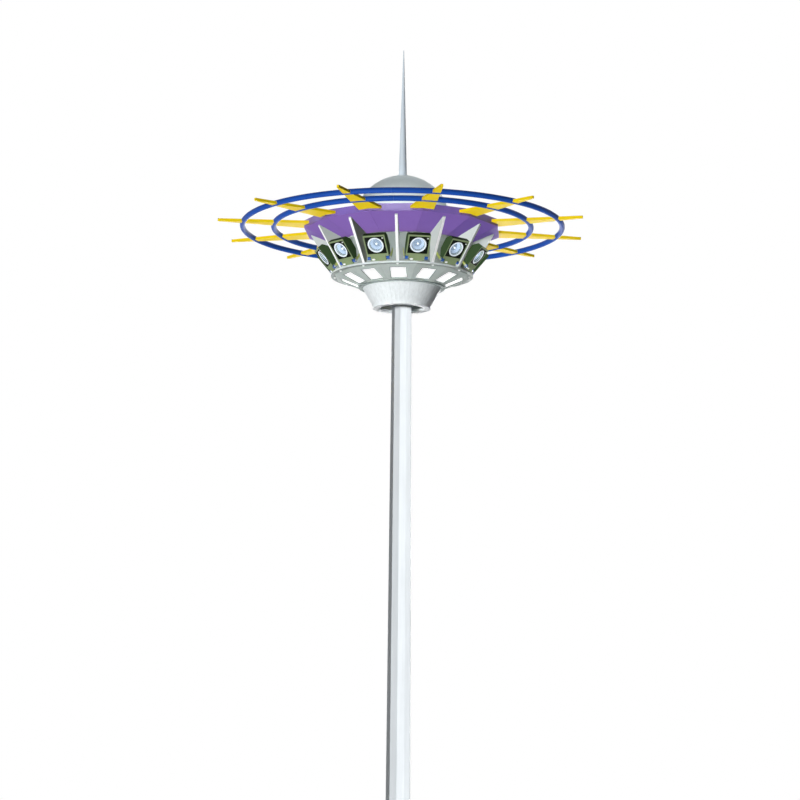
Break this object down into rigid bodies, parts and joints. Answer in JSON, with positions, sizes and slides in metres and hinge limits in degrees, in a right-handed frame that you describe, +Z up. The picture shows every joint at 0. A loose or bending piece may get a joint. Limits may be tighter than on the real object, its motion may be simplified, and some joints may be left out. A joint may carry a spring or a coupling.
{
  "type": "high mast floodlight tower",
  "caption": "Tapered ten-sided lighting mast with a domed top, a spire and a lowering lamp head with floodlights, fins, yellow arms and blue hoops.",
  "frame": {"origin": "centre of the base flange's underside, at ground level", "axes": "+Z up along the mast; a floodlight faces -Y"},
  "size_m": [6.066, 6.066, 23.0359],
  "materials": {
    "mast_steel": "satin galvanised and painted steel",
    "galvanised": "hot dip galvanised",
    "dome_grey": "satin paint",
    "spire_grey": "satin paint",
    "panel_grey": "satin paint",
    "purple_paint": "satin paint",
    "white_paint": "satin paint",
    "window_white": "opal diffuser",
    "yellow_paint": "gloss paint",
    "blue_paint": "gloss paint",
    "zinc_strap": "yellow zinc plated",
    "olive_paint": "hammered paint",
    "lens_glass": "clear tempered glass"
  },
  "bodies": {
    "mast": {"base_flange": "galvanised", "base_gussets": "galvanised", "mast_lower": "mast_steel", "mast_upper": "mast_steel", "access_cover": "mast_steel", "mast_head_plate": "galvanised", "dome": "dome_grey", "spire": "spire_grey"},
    "head": {"roof_deck": "panel_grey", "docking_ring": "galvanised", "rim_band": "purple_paint", "dish_panels": "purple_paint", "drum_wall": "panel_grey", "platform_ring": "white_paint", "skirt_panels": "panel_grey", "window_panels": "window_white", "skirt_flange": "panel_grey", "bell": "white_paint", "bell_ring": "white_paint", "fins": "white_paint", "arms": "yellow_paint", "outer_ring": "blue_paint", "inner_ring": "blue_paint", "lamp_brackets": "zinc_strap", "pivot_knobs": "blue_paint"},
    "lamp_01": {"floodlight_01": "olive_paint", "lens_01": "lens_glass"},
    "lamp_02": {"floodlight_02": "olive_paint", "lens_02": "lens_glass"},
    "lamp_03": {"floodlight_03": "olive_paint", "lens_03": "lens_glass"},
    "lamp_04": {"floodlight_04": "olive_paint", "lens_04": "lens_glass"},
    "lamp_05": {"floodlight_05": "olive_paint", "lens_05": "lens_glass"},
    "lamp_06": {"floodlight_06": "olive_paint", "lens_06": "lens_glass"},
    "lamp_07": {"floodlight_07": "olive_paint", "lens_07": "lens_glass"},
    "lamp_08": {"floodlight_08": "olive_paint", "lens_08": "lens_glass"},
    "lamp_09": {"floodlight_09": "olive_paint", "lens_09": "lens_glass"},
    "lamp_10": {"floodlight_10": "olive_paint", "lens_10": "lens_glass"},
    "lamp_11": {"floodlight_11": "olive_paint", "lens_11": "lens_glass"},
    "lamp_12": {"floodlight_12": "olive_paint", "lens_12": "lens_glass"}
  },
  "joints": [
    {"name": "head_lift", "type": "slide", "parent": "mast", "child": "head", "axis": [0, 0, -1], "range_m": [0, 16.4]},
    {"name": "lamp_01_tilt", "type": "hinge", "parent": "head", "child": "lamp_01", "pos_m": [0.57122, -0.98937, 19.29085], "axis": [0.866, 0.5, 0], "range_deg": [-12, 15]},
    {"name": "lamp_02_tilt", "type": "hinge", "parent": "head", "child": "lamp_02", "pos_m": [0.98937, -0.57122, 19.29085], "axis": [0.5, 0.866, 0], "range_deg": [-12, 15]},
    {"name": "lamp_03_tilt", "type": "hinge", "parent": "head", "child": "lamp_03", "pos_m": [1.14243, 0, 19.29085], "axis": [0, 1, 0], "range_deg": [-12, 15]},
    {"name": "lamp_04_tilt", "type": "hinge", "parent": "head", "child": "lamp_04", "pos_m": [0.98937, 0.57122, 19.29085], "axis": [-0.5, 0.866, 0], "range_deg": [-12, 15]},
    {"name": "lamp_05_tilt", "type": "hinge", "parent": "head", "child": "lamp_05", "pos_m": [0.57122, 0.98937, 19.29085], "axis": [-0.866, 0.5, 0], "range_deg": [-12, 15]},
    {"name": "lamp_06_tilt", "type": "hinge", "parent": "head", "child": "lamp_06", "pos_m": [0, 1.14243, 19.29085], "axis": [-1, 0, 0], "range_deg": [-12, 15]},
    {"name": "lamp_07_tilt", "type": "hinge", "parent": "head", "child": "lamp_07", "pos_m": [-0.57122, 0.98937, 19.29085], "axis": [-0.866, -0.5, 0], "range_deg": [-12, 15]},
    {"name": "lamp_08_tilt", "type": "hinge", "parent": "head", "child": "lamp_08", "pos_m": [-0.98937, 0.57122, 19.29085], "axis": [-0.5, -0.866, 0], "range_deg": [-12, 15]},
    {"name": "lamp_09_tilt", "type": "hinge", "parent": "head", "child": "lamp_09", "pos_m": [-1.14243, 0, 19.29085], "axis": [0, -1, 0], "range_deg": [-12, 15]},
    {"name": "lamp_10_tilt", "type": "hinge", "parent": "head", "child": "lamp_10", "pos_m": [-0.98937, -0.57122, 19.29085], "axis": [0.5, -0.866, 0], "range_deg": [-12, 15]},
    {"name": "lamp_11_tilt", "type": "hinge", "parent": "head", "child": "lamp_11", "pos_m": [-0.57122, -0.98937, 19.29085], "axis": [0.866, -0.5, 0], "range_deg": [-12, 15]},
    {"name": "lamp_12_tilt", "type": "hinge", "parent": "head", "child": "lamp_12", "pos_m": [0, -1.14243, 19.29085], "axis": [1, 0, 0], "range_deg": [-12, 15]}
  ]
}
